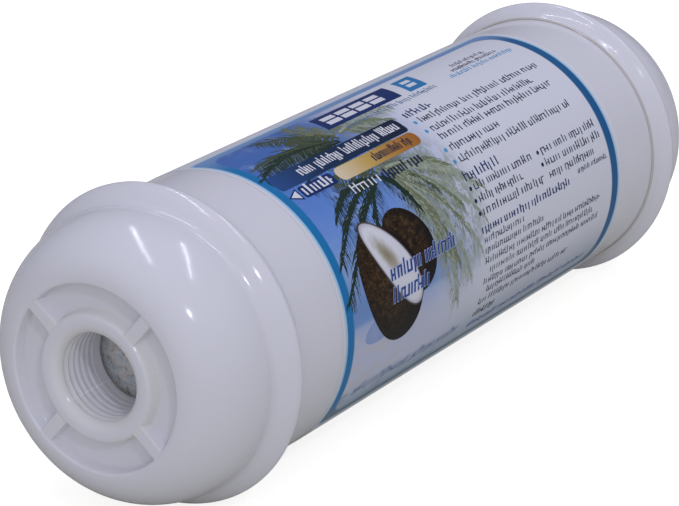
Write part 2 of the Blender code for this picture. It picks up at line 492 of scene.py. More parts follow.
def cap_columns():
    """The cap's columns, as (kind, value, quarter), one quarter after another.

    A quarter runs from one face rib's middle to the next. In a "rib" or "far" column, value is the distance
    in millimetres from the middle of the first or the next rib. In a "free" one it is an angle in radians.
    """
    near = (0.0, 0.5, 0.85, *(distance for distance, _ in RIB_WALL), 1.9)
    free = 34
    reach = math.asin(near[-1] / NARROWEST)
    spread = [reach + (math.pi / 2 - 2 * reach) * (k + 1) / (free + 1) for k in range(free)]
    found = [("rib", w) for w in near] + [("free", a) for a in spread]
    found += [("far", w) for w in reversed(near[1:])]
    return [(kind, value, quarter) for quarter in range(4) for kind, value in found]


def column_angle(kind, value, quarter, radius):
    """The angle of a column at a radius: one beside a rib keeps its distance from the rib's middle."""
    turn = math.radians(RIB_ANGLE) + quarter * math.pi / 2
    held = min(max(radius, NARROWEST), WIDEST)
    if kind == "rib":
        return turn + math.asin(value / held)
    if kind == "far":
        return turn + math.pi / 2 - math.asin(value / held)
    return turn + value


def ease(value, low, high):
    """0 at low, 1 at high, rounded at both ends."""
    t = min(max((value - low) / (high - low), 0.0), 1.0)
    return t * t * (3 - 2 * t)


def along(table, value):
    """Reads a (value, share) table with straight lines between its entries."""
    if value <= table[0][0]:
        return table[0][1]
    for (a, first), (b, second) in zip(table, table[1:]):
        if value <= b:
            return first + (second - first) * (value - a) / (b - a)
    return table[-1][1]


def groove(phase):
    """Share of a 60 degree thread's depth, for a phase in turns, with a narrow flat on its crest and root."""
    rise, flat = abs((phase % 1.0) * 2 - 1), 0.10
    return min(max((rise - flat) / (1 - 2 * flat), 0.0), 1.0)


def bore_radius(depth, x, angle, pitch, cut):
    """The port's wall: the widest of its rounded mouth, its tapered bore and the thread cut into it."""
    bore = BORE_START + (BORE_END - BORE_START) * max(depth - MOUTH_DEPTH, 0.0) / (PORT_DEPTH - MOUTH_DEPTH)
    share = max(1 - depth / MOUTH_DEPTH, 0.0)
    mouth = BORE_START + (MOUTH_RADIUS - BORE_START) * (1 - math.sqrt(1 - share * share))
    fade = ease(depth, *THREAD_IN) * ease(depth, *THREAD_OUT)
    thread = bore + cut * groove(x / pitch - angle / (2 * math.pi)) * fade
    return max(bore, mouth, thread)


def outer_rows(width):
    """The cap from the edge of its face over the dome, the flange and the socket to the port's inner end."""
    power = 2 / DOME_POWER
    dome = [
        (DOME_DEPTH * (1 - math.cos(t) ** power), DOME_START + DOME_RISE * math.sin(t) ** power)
        for t in [k * math.pi / 44 for k in range(1, 22)]
    ]
    face = [(0.0, FACE_EDGE), (0.0, DOME_START)]
    return [[place] * width for place in [*face, *dome, *smooth_curve(FLANGE_CURVE), *SOCKET_CURVE]]


def port_rows(side, columns, pitch, cut):
    """The threaded bore from its inner end to the mouth, and the rounded lip of the hub."""
    count = round((PORT_DEPTH - THREAD_START) / pitch * ROWS_PER_TURN)
    rows = []
    for step in range(count, -1, -1):
        depth = THREAD_START + (PORT_DEPTH - THREAD_START) * step / count
        x = side * (HALF_LENGTH - depth)
        angles = [column_angle(*column, 0) for column in columns]
        rows.append([(depth, bore_radius(depth, x, angle, pitch, cut)) for angle in angles])
    lip = ((0.04, bore_radius(0.04, 0, 0, pitch, 0)), (0.0, MOUTH_RADIUS + 0.05), (0.0, MOUTH_RADIUS + 0.3))
    return rows + [[place] * len(columns) for place in lip]


def pocket_rows(columns):
    """The cap's face from the hub to the rim, with its pockets and the face ribs between them."""
    low, high = HUB_WALL[-1][0], RIM_WALL[0][0]
    floor = [low + (high - low) * k / 6 for k in range(1, 6)]
    rows = []
    for radius in [*(r for r, _ in HUB_WALL), *floor, *(r for r, _ in RIM_WALL[:-1])]:
        share = along(HUB_WALL, radius) if radius < high else along(RIM_WALL, radius)
        flat = ease(radius, 10.75, 11.15) * ease(radius, FACE_EDGE, 16.45)
        row = []
        for kind, value, _ in columns:
            wall = 1.0 if kind == "free" else along(RIB_WALL, value)
            row.append((RIB_SINK * flat * (1 - wall * share) + POCKET_DEPTH * share * wall, radius))
        rows.append(row)
    return rows


def cap_mesh(side, shell):
    """(points, faces) of a cap: one closed surface for the moulding, and a box for each seat rib inside."""
    columns = cap_columns()
    rows = outer_rows(len(columns))
    rows += port_rows(side, columns, shell.thread_pitch / MM, shell.thread_depth / MM)
    rows += pocket_rows(columns)
    points = []
    for row in rows:
        for (depth, radius), column in zip(row, columns):
            on_face = depth < POCKET_DEPTH + 0.1
            angle = column_angle(*column, radius if on_face else 0)
            points.append(round_point(side * (HALF_LENGTH - depth), radius, angle))
    faces = grid_faces(len(rows), len(columns))
    low, high = SEAT_RADII
    for rib in range(SEAT_RIBS):
        turn = Matrix.Rotation(rib * 2 * math.pi / SEAT_RIBS, 3, "X")
        start = len(points)
        for depth in SEAT_DEPTHS:
            x = side * (HALF_LENGTH - depth)
            for across, out in ((-SEAT_HALF, low), (SEAT_HALF, low), (SEAT_HALF, high), (-SEAT_HALF, high)):
                points.append(tuple(turn @ Vector((x, across, out))))
        faces += box_faces(start)
    return points, faces


def cap_finish(shell):
    """The caps' plastic, with dull painted shade where the flange meets the tube, a pale painted highlight
    along the parting line in the port and a painted warm glow in the hollows.
    """
    finish = plastic_finish("moulded_cap_plastic", shell.plastic, shell.gloss)
    x, y, z = finish.axes()
    depth, radius = HALF_LENGTH - abs(x), (y * y + z * z) ** 0.5
    # Painted shade: a dull beige band in the crease where the flange's rear flank meets the tube.
    crease_shade = depth.fade(21.95, 22.15) * radius.fade(26.62, 26.4)
    finish.recolour((0.58, 0.54, 0.47), crease_shade * 0.85)
    # Painted highlight: a pale line along the mould's parting line in the port, where its ridge catches the
    # light.
    turn = math.radians(PARTING_ANGLE)
    beside = abs(y * math.sin(turn) - z * math.cos(turn)).fade(0.17, 0.06)
    parting = beside * (y * math.cos(turn) + z * math.sin(turn)).fade(4.0, 5.0) * radius.fade(8.6, 8.3)
    finish.recolour((0.96, 0.96, 0.97), parting * 0.8)
    # Painted light: a warm glow on the hub's outer wall and in the port's mouth, standing in for light that
    # bounces round these hollows and shines through the plastic.
    warm = radius.fade(12.3, 11.6) * radius.fade(10.8, 11.1) + radius.fade(9.4, 8.6) * depth.fade(6.0, 2.0)
    finish.recolour((0.84, 0.83, 0.77), warm * 0.6)
    return finish


class FILTER_OT_caps(bpy.types.Operator):
    """Build both threaded end caps"""

    bl_idname = "filter.caps"
    bl_label = "Caps"

    def execute(self, context):
        shell = context.scene.filter_shell
        finish = cap_finish(shell)
        for name, side in (("outlet_cap", OUTLET), ("inlet_cap", INLET)):
            mesh = cap_mesh(side, shell)
            add_piece(f"{name}_moulding", *mesh, [finish], "polypropylene", [name], sharp=38.0)
        return {"FINISHED"}


class FILTER_OT_housing(bpy.types.Operator):
    """Build the housing tube"""

    bl_idname = "filter.housing"
    bl_label = "Housing Tube"

    def execute(self, context):
        shell = context.scene.filter_shell
        low, high = span("housing_tube")
        inner, outer, edge, rows = BODY_RADIUS - shell.wall / MM, BODY_RADIUS, 0.25, 12
        outline = [(low, inner + edge), (low, outer - edge)]
        outline += [(low + edge + (high - low - 2 * edge) * k / rows, outer) for k in range(rows + 1)]
        outline += [(high, outer - edge), (high, inner + edge), (high - edge, inner), (low + edge, inner)]
        finish = plastic_finish("extruded_tube_plastic", shell.plastic, shell.gloss)
        add_piece("housing_tube_wall", *lathe(outline), [finish], "polypropylene", ["housing_tube"])
        return {"FINISHED"}


# ---------------------------------------------------------------- label


def down(angle):
    """Millimetres down the printed panel from its middle line, for an angle in degrees."""
    return (angle - PANEL_MIDDLE) * DEGREE


def on_label(x, drop, lift):
    """The point x along the filter and drop down the panel, lift above the label, all in millimetres."""
    return round_point(x, BODY_RADIUS + lift, math.radians(PANEL_MIDDLE) + drop / LABEL_RADIUS)


class Print:
    """Ink on the label, collected as thin closed shapes that bend round the tube."""

    ROW = 0.8  # the most that one row of faces goes round the tube, in millimetres
    BORDER = 0.13  # width of the border round an edged stroke

    def __init__(self, lift, depth):
        self.points, self.faces, self.finish = [], [], []
        self.lift, self.depth, self.colour = lift, depth, 0

    def keep(self, faces):
        self.faces += faces
        self.finish += [self.colour] * len(faces)

    def patch(self, outline, lift=0.0):
        """A small shape with straight sides; outline is (x, drop) corners."""
        start, count = len(self.points), len(outline)
        top = self.lift + lift
        for level in (top, top - self.depth):
            self.points += [on_label(x, drop, level) for x, drop in outline]
        under = start + count
        faces = [tuple(range(start, under)), tuple(range(under + count - 1, under - 1, -1))]
        for k in range(count):
            this, following = start + k, start + (k + 1) % count
            faces.append((this, this + count, following + count, following))
        self.keep(faces)

    def shape(self, outline, lift=0.0):
        """A larger shape without hollows, cut into rows so that it follows the tube."""
        drops = sorted(drop for _, drop in outline)
        first, last = drops[0], drops[-1]
        count = max(1, math.ceil((last - first) / self.ROW))
        levels = {round(drop, 5) for drop in drops}
        levels |= {round(first + (last - first) * k / count, 5) for k in range(count + 1)}
        rows = []
        for level in sorted(levels):
            hits = []
            for (xa, da), (xb, db) in zip(outline, [*outline[1:], outline[0]]):
                if abs(da - db) < 1e-6:
                    if abs(level - da) < 1e-4:
                        hits += [xa, xb]
                elif min(da, db) - 1e-4 <= level <= max(da, db) + 1e-4:
                    t = min(max((level - da) / (db - da), 0.0), 1.0)
                    hits.append(xa + (xb - xa) * t)
            if hits:
                rows.append((level, min(hits), max(hits) + 1e-3))
        start, top = len(self.points), self.lift + lift
        for level, left, right in rows:
            for height in (top, top - self.depth):
                self.points += [on_label(left, level, height), on_label(right, level, height)]
        faces = []
        for k in range(len(rows) - 1):
            a = start + 4 * k
            b = a + 4
            faces += [(a, a + 1, b + 1, b), (b + 2, b + 3, a + 3, a + 2)]
            faces += [(a, b, b + 2, a + 2), (a + 1, a + 3, b + 3, b + 1)]
        end = start + 4 * (len(rows) - 1)
        faces += [(start, start + 2, start + 3, start + 1), (end, end + 1, end + 3, end + 2)]
        self.keep(faces)

    def bar(self, left, right, top, bottom, corner=0.0, slant=0.0, lift=0.0):
        """A bar between two angles in degrees, with round corners or with ends that lean by slant."""
        high, low = down(top), down(bottom)
        outline = [(left + slant, high), (right + slant, high), (right, low), (left, low)]
        if corner:
            outline = []
            for x, drop, first in (
                (right - corner, high + corner, -90),
                (right - corner, low - corner, 0),
                (left + corner, low - corner, 90),
                (left + corner, high + corner, 180),
            ):
                for turn in range(first, first + 91, 18):
                    angle = math.radians(turn)
                    outline.append((x + corner * math.cos(angle), drop + corner * math.sin(angle)))
        self.shape(outline, lift)

    def oval(self, x, angle, across, upright, lean=0.0, lift=0.0, corners=40):
        """An ellipse round (x, angle in degrees), from its two half widths; lean turns it, in degrees."""
        c, s = math.cos(math.radians(lean)), math.sin(math.radians(lean))
        outline = []
        for k in range(corners):
            turn = 2 * math.pi * k / corners
            a, b = across * math.cos(turn), upright * math.sin(turn)
            outline.append((x + a * c - b * s, down(angle) + a * s + b * c))
        self.shape(outline, lift)

    def stroke(self, left, right, high, low, slide, lift, edge):
        """One tick or dash that leans by slide; edge is the ink of the border under it, if it has one."""
        if edge is not None:
            main, rim = self.colour, self.BORDER
            self.colour = edge
            above = [(left + slide - rim, high - rim), (right + slide + rim, high - rim)]
            self.patch([*above, (right + rim, low + rim), (left - rim, low + rim)], lift - 0.025)
            self.colour = main
        self.patch([(left + slide, high), (right + slide, high), (right, low), (left, low)], lift)

    def line(
        self,
        draw,
        left,
        right,
        angle,
        height,
        weight=0.19,
        lean=0.0,
        lift=0.0,
        word=(2, 9),
        gap=0.36,
        edge=None,
    ):
        """A row of filler print: upright ticks, some joined by a dash, in groups as long as words.

        Lengths are in millimetres. weight, lean and gap are shares of the height, and word gives the fewest
        and the most ticks, counted two for a letter, in a group.
        """
        middle, x = down(angle), left
        letters = draw.randint(*word)
        while x < right - 0.3 * height:
            tall = draw.random()
            low = middle + 0.36 * height
            high = middle - (0.62 if tall < 0.28 else 0.34) * height
            if tall > 0.92:
                low += 0.22 * height
            wide = weight * height * draw.uniform(0.75, 1.15)
            self.stroke(x, x + wide, high, low, lean * (low - high), lift, edge)
            space = height * draw.uniform(0.8, 1.5) * gap
            if draw.random() < 0.5 and letters > 1:
                level = draw.choice((middle - 0.34 * height, middle - 0.02 * height, middle + 0.25 * height))
                start = x + lean * (low - level)
                self.stroke(start, start + wide + space, level, level + 0.11 * height, 0.0, lift, edge)
            x += wide + space
            letters -= 0.5
            if letters <= 0:
                letters = draw.randint(*word)
                x += 0.36 * height

    def add(self, name, finishes):
        return add_piece(
            name, self.points, self.faces, finishes, "label_vinyl", smooth=False, face_finish=self.finish
        )


def ink_finish(name, base, amount=0.05, size=0.5):
    """Screen-printed ink: a fine mottle and a slightly uneven gloss."""
    finish = Finish(name, IOR=1.48, Specular_IOR_Level=INK_SPECULAR)
    finish.vary(base, amount, size)
    finish.set("Roughness", finish.noise(0.8, 2.0) * 0.04 + (INK_ROUGHNESS - 0.02))
    return finish


def fade_finish(name, start, end, *stops):
    """Ink whose colour runs through the stops between two places along the filter, in millimetres."""
    finish = Finish(name, IOR=1.48, Roughness=INK_ROUGHNESS, Specular_IOR_Level=INK_SPECULAR)
    x = finish.axes()[0] + (finish.noise(0.8, 2.0) - 0.5) * 2.0
    finish.set("Base Color", finish.ramp((x - start) / (end - start), *stops))
    return finish


def label_place(finish):
    """(x, drop) of the point being shaded, in millimetres along the filter and down the printed panel."""
    x, y, z = finish.axes()
    turn = math.radians(PANEL_MIDDLE)
    outward = y * math.cos(turn) + z * math.sin(turn)
    sideways = z * math.cos(turn) - y * math.sin(turn)
    return x, sideways.angle_from(outward) * LABEL_RADIUS


def oval_distance(finish, middle, across, upright, lean):
    """0 at the middle of a leaning ellipse on the label, and 1 at its edge."""
    x, drop = label_place(finish)
    c, s = math.cos(math.radians(lean)), math.sin(math.radians(lean))
    x, drop = x - middle[0], drop - down(middle[1])
    a, b = (x * c + drop * s) / across, (drop * c - x * s) / upright
    return (a * a + b * b) ** 0.5


def edge_distance(place, left, right, top, bottom, corner):
    """Distance outside a rectangle with round corners on the label, and below 0 inside it."""
    x, drop = place
    across = abs(x - (left + right) / 2) - ((right - left) / 2 - corner)
    upright = abs(drop - (down(top) + down(bottom)) / 2) - ((down(bottom) - down(top)) / 2 - corner)
    outside = (across.most(0.0) ** 2.0 + upright.most(0.0) ** 2.0) ** 0.5
    return outside + across.most(upright).least(0.0) - corner


# The blue frame's outer and inner edge, as (left, right, top, bottom, corner)
FRAME_OUTSIDE = (-50.1, 49.6, 75.6, 221.4, 1.8)
FRAME_INSIDE = (-48.0, 47.1, 80.2, 217.6, 4.4)
SKY_TOP, SKY_BOTTOM = 76.0, 222.0
SKY = (  # (share of the way down the panel, share of the vinyl's colour)
    (0.00, (0.10, 0.23, 0.62)), (0.14, (0.085, 0.22, 0.60)), (0.36, (0.16, 0.34, 0.80)),
    (0.46, (0.24, 0.43, 0.87)), (0.56, (0.34, 0.52, 0.82)), (0.64, (0.22, 0.38, 0.70)),
    (0.685, (0.25, 0.42, 0.75)), (0.70, (0.50, 0.63, 0.86)), (0.76, (0.72, 0.76, 0.90)),
    (0.88, (0.84, 0.88, 1.0)), (0.95, (0.54, 0.66, 0.76)), (1.00, (0.28, 0.40, 0.47)),
)
FOLIAGE = (  # soft leaf masses: (x, angle), (half width, half height), colour, where their noise starts
    ((-12.0, 150.0), (11.0, 16.0), (0.33, 0.38, 0.25), 0.40),
    ((-20.0, 131.0), (7.0, 6.0), (0.10, 0.12, 0.045), 0.42),
    ((-34.0, 104.0), (13.0, 3.4), (0.07, 0.10, 0.05), 0.42),
    ((-15.0, 103.0), (8.0, 3.4), (0.32, 0.36, 0.22), 0.44),
    ((-38.0, 140.0), (3.2, 13.0), (0.03, 0.05, 0.03), 0.44),
)


def vinyl_finish(name, label):
    """The label film: plain vinyl, and on its front a blue frame round a sky that fades to white."""
    finish = Finish(name, IOR=1.48, Specular_IOR_Level=0.2)
    x, drop = place = label_place(finish)
    white = tuple(label.vinyl)

    def share(*shade):
        return tuple(a * b for a, b in zip(shade, white))

    def between(start, end):
        return drop.fade(down(start), down(end))

    height = (drop - down(SKY_TOP)) / (down(SKY_BOTTOM) - down(SKY_TOP))
    sky = finish.ramp(height, *((position, share(*shade)) for position, shade in SKY))
    clouds = finish.noise(8.0, 5.0, 0.62, (1.0, 2.0, 2.0)).fade(0.50, 0.80) * between(178.0, 150.0)
    sky = finish.mix(sky, share(0.66, 0.77, 0.97), clouds * 0.75)
    sand = finish.noise(5.0, 5.0, 0.65, (1.0, 1.8, 1.8)).fade(0.46, 0.62)
    sand *= between(177.0, 184.0) * between(214.0, 196.0)
    sky = finish.mix(sky, share(0.80, 0.78, 0.74), sand * x.fade(-16.0, -40.0) * 0.7)
    ripples = finish.noise(2.2, 4.0, 0.6, (0.35, 1.6, 1.6)).fade(0.5, 0.66) * between(203.0, 208.0)
    sky = finish.mix(sky, share(0.20, 0.30, 0.42), ripples * 0.5)
    plain = finish.mix(share(0.99, 1.0, 1.01), share(0.56, 0.64, 0.74), between(188.0, 222.0))
    across = (x + (finish.noise(16.0, 3.0) - 0.5) * 9.0).fade(-26.0, 3.0)
    ground = finish.mix(sky, plain, across)
    streaks = finish.noise(1.1, 4.0, 0.65, (1.6, 0.5, 0.5), 0.6)
    haze = finish.noise(7.0, 3.0) * 0.5 + streaks * 0.5
    for (middle, angle), (wide, tall), shade, low in FOLIAGE:
        near = (((x - middle) / wide) ** 2.0 + ((drop - down(angle)) / tall) ** 2.0) ** 0.5
        cover = (near + (haze - 0.5) * 2.2).fade(1.15, 0.7) * haze.fade(low, low + 0.14)
        ground = finish.mix(ground, share(*shade), cover * 0.85)
    blue = finish.mix(label.frame_blue, share(0.014, 0.15, 0.36), x.fade(-30.0, 40.0))
    blue = finish.mix(blue, share(0.26, 0.44, 0.74), between(96.0, 76.0))
    blue = finish.mix(blue, share(0.22, 0.31, 0.37), between(206.0, 219.0))
    painted = finish.mix(ground, blue, edge_distance(place, *FRAME_INSIDE).fade(-0.25, 0.25))
    outer = edge_distance(place, *FRAME_OUTSIDE)
    glow = finish.mix(share(0.46, 0.80, 0.99), white, outer.fade(0.1, 1.0))
    finish.set("Base Color", finish.mix(painted, glow, outer.fade(-0.15, 0.15)))
    finish.set("Roughness", finish.noise(6.0, 2.0) * 0.02 + 0.38)
    return finish.bump(finish.noise(2.6, 2.0), 0.008)


class FILTER_OT_label(bpy.types.Operator):
    """Wrap the label film round the tube, with its ground colours"""

    bl_idname = "filter.label"
    bl_label = "Label Film"

    def execute(self, context):
        label = context.scene.filter_label
        film, under, rows = label.film / MM, 0.02, 176
        gap = math.degrees(SEAM_GAP / LABEL_RADIUS)
        outline = [(LABEL_LOW, under), (LABEL_LOW, film), (LABEL_HIGH, film), (LABEL_HIGH, under)]
        points = []
        for row in range(rows):
            angle = math.radians(SEAM_ANGLE + gap / 2 + (360 - gap) * row / (rows - 1))
            points += [round_point(x, BODY_RADIUS + rise, angle) for x, rise in outline]
        faces = grid_faces(rows, 4, closed_rows=False)
        faces += [(0, 1, 2, 3), tuple(4 * (rows - 1) + k for k in (3, 2, 1, 0))]
        finish = vinyl_finish("printed_vinyl_film", label)
        add_piece("label_film", points, faces, [finish], "label_vinyl", ["label"])
        return {"FINISHED"}


def label_inks(label):
    """The finishes of the label's print, by name."""
    return {
        "navy": ink_finish("navy_ink", label.navy),
        "text": ink_finish("slate_ink", label.text),
        "white": ink_finish("white_ink", [min(1.0, c * 1.02) for c in label.vinyl], 0.02),
        "blue": ink_finish("blue_ink", (0.03, 0.22, 0.48)),
        "cyan": ink_finish("cyan_ink", (0.08, 0.36, 0.62)),
        "script": ink_finish("grey_blue_ink", (0.13, 0.22, 0.37)),
        "pale": ink_finish("pale_blue_ink", (0.42, 0.52, 0.80)),
        "slogan": ink_finish("slogan_ink", (0.014, 0.05, 0.22)),
        "amber": fade_finish(
            "amber_ink", -33.0, -7.0,
            (0.0, (0.80, 0.68, 0.46)), (0.35, (0.62, 0.42, 0.12)),
            (0.7, (0.50, 0.24, 0.05)), (1.0, label.amber),
        ),
        "title": fade_finish(
            "title_bar_ink", -48.0, -6.0,
            (0.0, (0.03, 0.09, 0.27)), (0.3, (0.014, 0.04, 0.10)), (1.0, (0.012, 0.02, 0.05)),
        ),
    }


PROUD = 0.015  # how far one ink stands on another, in millimetres
SLOGAN = {"weight": 0.15, "lean": 0.2, "lift": 0.09, "gap": 0.22}
POINTS = (  # rows after a dot: (angle, right end, whether it has a dot)
    (114.0, 43.0, True), (120.0, 36.0, True), (125.0, 41.0, False), (131.0, 17.5, True), (137.0, 42.0, True),
)
PAIRS = ((149.6, 20.5, 45.0), (155.0, 14.5, 46.0), (160.4, 21.5, 42.5))  # (angle, two right ends)
SMALL_PRINT = (  # (angle, left, right)
    (171.6, -3.0, 12.0), (176.0, -3.0, 19.5), (180.6, -3.0, 41.5), (185.0, -1.2, 39.0),
    (189.6, -3.0, 42.0), (194.0, -1.2, 17.5), (199.0, -3.0, 31.5),
)


def print_plates(ink, draw):
    """The two plain plates at the top, with the blocks on them."""
    ink("navy").bar(-20.5, 4.6, 84.5, 97.0, slant=1.9)
    ink("blue").bar(7.7, 13.8, 84.5, 97.0, slant=1.9)
    for left in (-17.6, -12.7, -7.8, -2.9):
        ink("white").bar(left, left + 4.1, 87.2, 90.3, slant=0.4, lift=PROUD)
        ink("white").bar(left - 0.5, left + 3.6, 91.4, 94.5, slant=0.4, lift=PROUD)
    ink("white").bar(10.1, 13.0, 87.4, 90.0, slant=0.35, lift=PROUD)
    ink("white").bar(9.5, 12.4, 91.4, 94.0, slant=0.35, lift=PROUD)
    ink("script").line(draw, -17.0, 15.0, 100.3, 1.3)


def print_title(ink, draw, border):
    """The title bar, the arrow, the capsule and the slogan over the picture."""
    ink("title").bar(-47.9, -6.2, 107.0, 116.0, corner=0.9)
    ink("white").line(draw, -40.0, -7.4, 111.4, 2.4, 0.17, lift=0.06, gap=0.14)
    ink("navy").bar(-44.4, -34.3, 117.1, 122.9, corner=0.5)
    ink("white").line(draw, -43.8, -35.2, 120.0, 2.4, 0.25, lift=0.06, word=(9, 9), gap=0.22)
    ink("navy").shape([(-48.3, down(120.0)), (-45.0, down(116.9)), (-45.0, down(123.1))])
    ink("white").shape([(-47.6, down(120.0)), (-45.4, down(117.9)), (-45.4, down(122.1))], lift=PROUD)
    ink("amber").bar(-33.2, -6.2, 116.6, 123.6, corner=1.5, lift=0.004)
    ink("text").line(draw, -21.5, -8.0, 120.2, 2.0, 0.16, lift=0.06, gap=0.14)
    ink("white").line(draw, -33.2, -24.0, 128.6, 2.1, lift=0.06)
    ink("text").line(draw, -23.4, -10.0, 129.0, 2.2, 0.22, lift=0.06, word=(2, 4), gap=0.22)
    ink("slogan").line(draw, -35.0, -12.6, 164.6, 2.8, word=(5, 8), edge=border, **SLOGAN)
    ink("slogan").line(draw, -35.2, -22.0, 173.4, 2.8, word=(7, 9), edge=border, **SLOGAN)
    ink("script").line(draw, -44.0, -7.0, 208.0, 2.2, 0.12, lean=0.45, word=(6, 10))


def print_text(ink, draw):
    """The rows of filler text on the label's plain side."""
    ink("navy").line(draw, -3.0, 6.0, 108.6, 1.9, 0.22, word=(9, 12))
    for angle, right, dotted in POINTS:
        if dotted:
            ink("cyan").oval(-2.8, angle, 0.45, 0.45, corners=14)
        ink("text").line(draw, -1.1, right, angle, 1.6)
    ink("navy").line(draw, -3.0, 10.0, 144.6, 1.9, 0.22, word=(12, 15))
    for angle, right, second in PAIRS:
        for start, end in ((-3.0, right), (22.3, second)):
            if start < 0 or angle < PAIRS[-1][0]:
                ink("text").oval(start + 0.2, angle, 0.42, 0.42, corners=12)
            ink("text").line(draw, start + 1.5, end, angle, 1.6)
    ink("text").line(draw, 34.0, 46.0, 165.0, 1.1, lean=0.3)
    ink("navy").line(draw, -3.4, 30.5, 167.2, 1.55, 0.24)
    for angle, left, right in SMALL_PRINT:
        ink("text").line(draw, left, right, angle, 1.35, 0.16)
    ink("text").line(draw, -3.0, 5.2, 205.2, 1.5, 0.22, word=(8, 9))
    ink("script").line(draw, -3.0, 43.0, 211.4, 1.4)
    ink("text").line(draw, 26.0, 38.5, 92.5, 1.15, lean=0.25)
    ink("text").line(draw, 23.5, 40.5, 96.0, 1.15, lean=0.25)
    ink("cyan").line(draw, 20.5, 44.0, 99.6, 1.25, 0.2, lean=0.25)


class FILTER_OT_print(bpy.types.Operator):
    """Print the label's plates, bars and rows of filler text"""

    bl_idname = "filter.print"
    bl_label = "Label Print"

    def execute(self, context):
        label = context.scene.filter_label
        draw = random.Random(11)
        inks = label_inks(label)
        order = list(inks)
        press = Print(lift=label.film / MM + 0.045, depth=0.03)

        def ink(name):
            press.colour = order.index(name)
            return press

        print_plates(ink, draw)
        print_title(ink, draw, order.index("pale"))
        print_text(ink, draw)
        press.add("label_print", list(inks.values()))
        return {"FINISHED"}


# ---------------------------------------------------------------- the label's picture

FROND_SHADES = ((0.022, 0.042, 0.026), (0.075, 0.10, 0.05), (0.20, 0.23, 0.13), (0.36, 0.41, 0.31))
FRONDS = (  # (shade, root, tip, sag, leaflet length, pairs of leaflets, droop); root and tip are (x, angle)
    (3, (-21, 126), (-4, 140), 3.6, 9.0, 60, 1.2), (3, (-21, 128), (-2, 160), 4.6, 10.0, 64, 1.3),
    (2, (-21, 128), (-8, 150), 4.0, 9.0, 60, 1.3), (3, (-21, 130), (-9, 180), 3.0, 9.0, 64, 1.2),
    (2, (-21, 130), (-13, 172), 2.4, 8.0, 60, 1.2), (1, (-22, 127), (-13, 140), 3.0, 7.0, 46, 1.1),
    (3, (-22, 127), (0, 150), 4.0, 8.0, 46, 0.5), (3, (-22, 129), (-5, 172), 3.0, 9.0, 50, 0.8),
    (2, (-22, 128), (-6, 136), 3.2, 6.5, 40, 0.6), (2, (-22, 130), (-9, 160), 3.4, 8.5, 50, 0.9),
    (3, (-21, 132), (-13, 190), 0.5, 7.5, 52, 0.7), (2, (-21, 131), (-16, 166), 1.0, 6.5, 44, 0.8),
    (3, (-20, 101), (-2, 99), 1.6, 4.6, 30, 0.5), (2, (-20, 102), (-7, 106), 2.4, 5.0, 30, 0.6),
    (1, (-22, 102), (-35, 84), 1.4, 5.2, 40, 0.5), (2, (-22, 101), (-25, 82), -1.5, 4.6, 32, 0.3),
    (2, (-22, 102), (-14, 88), 1.4, 4.4, 28, 0.4), (1, (-22, 104), (-31, 95), 2.2, 5.4, 38, 0.6),
    (2, (-24, 127), (-14, 114), 2.4, 5.2, 34, 0.4), (1, (-24, 127), (-30, 112), 1.6, 5.0, 34, 0.4),
    (0, (-23, 105), (-48, 107), 4.6, 5.0, 54, 0.4), (1, (-24, 104), (-46, 100), 3.0, 4.4, 46, 0.4),
    (0, (-23, 106), (-42, 120), 4.0, 4.8, 44, 0.5), (0, (-26, 128), (-47, 152), 4.6, 5.4, 52, 0.5),
    (0, (-26, 130), (-48.4, 167), 4.6, 5.6, 54, 0.5), (0, (-25, 128), (-42, 136), 4.2, 5.4, 46, 0.6),
    (1, (-25, 127), (-36, 122), 2.4, 4.8, 34, 0.5), (0, (-26, 129), (-34, 150), 3.4, 5.4, 40, 0.8),
    (0, (-25, 127), (-20, 146), 3.0, 5.4, 40, 0.7),
)


def turned(way, angle):
    """A flat direction turned by an angle in radians."""
    c, s = math.cos(angle), math.sin(angle)
    return Vector((way.x * c - way.y * s, way.x * s + way.y * c))


def frond(press, draw, root, tip, sag, leaf, count, droop):
    """A palm frond. sag arches its stem, and its leaflets, leaf long, hang by droop."""
    start, end = Vector((root[0], down(root[1]))), Vector((tip[0], down(tip[1])))
    middle = (start + end) / 2 - Vector((0.0, sag))
    joints, hang = 14, Vector((0.0, droop))

    def stem(t):
        return start * (1 - t) ** 2 + middle * 2 * t * (1 - t) + end * t * t

    for k in range(joints):
        a, b = stem(k / joints), stem((k + 1) / joints)
        side = (b - a).orthogonal().normalized() * 0.2 * (1.3 - k / joints)
        press.patch([tuple(a + side), tuple(b + side), tuple(b - side), tuple(a - side)], lift=0.008)
    for k in range(count):
        t = min(0.06 + 0.94 * (k + draw.random()) / count, 1.0)
        ahead = (stem(min(t + 0.02, 1.0)) - stem(max(t - 0.02, 0.0))).normalized()
        reach = leaf * (0.45 + 0.55 * math.sin(math.pi * min(t * 0.9 + 0.1, 1.0))) * draw.uniform(0.75, 1.2)
        for turn in (-1, 1):
            way = (turned(ahead, math.radians(turn * draw.uniform(28, 55))) + hang).normalized()
            foot = stem(t)
            elbow = foot + way * reach * 0.5
            point = elbow + (way + hang).normalized() * reach * 0.5
            side = way.orthogonal().normalized() * draw.uniform(0.09, 0.2)
            leaflet = (foot - side * 0.6, elbow - side, point, elbow + side, foot + side * 0.6)
            press.patch([tuple(corner) for corner in leaflet], lift=draw.uniform(0.0, 0.007))


# The coconut's shadow, far half, near half, shell edge and flesh, as (x, angle, two half widths, lean, lift)
COCONUT = (
    (-38.5, 182.0, 6.0, 2.4, -8, -0.012),
    (-26.6, 159.5, 6.9, 8.4, -28, 0.0),
    (-34.4, 168.0, 8.4, 11.6, -27, 0.004),
    (-32.2, 161.2, 4.1, 10.9, -35, 0.008),
    (-32.2, 161.2, 3.8, 10.55, -35, 0.012),
)


def shadow_finish():
    """Wet sand in the coconut's shadow."""
    finish = Finish("wet_sand_ink", IOR=1.48, Roughness=0.3, Specular_IOR_Level=INK_SPECULAR)
    finish.set("Base Color", finish.mix((0.20, 0.30, 0.62), (0.45, 0.53, 0.68), finish.noise(3.0, 3.0)))
    return finish


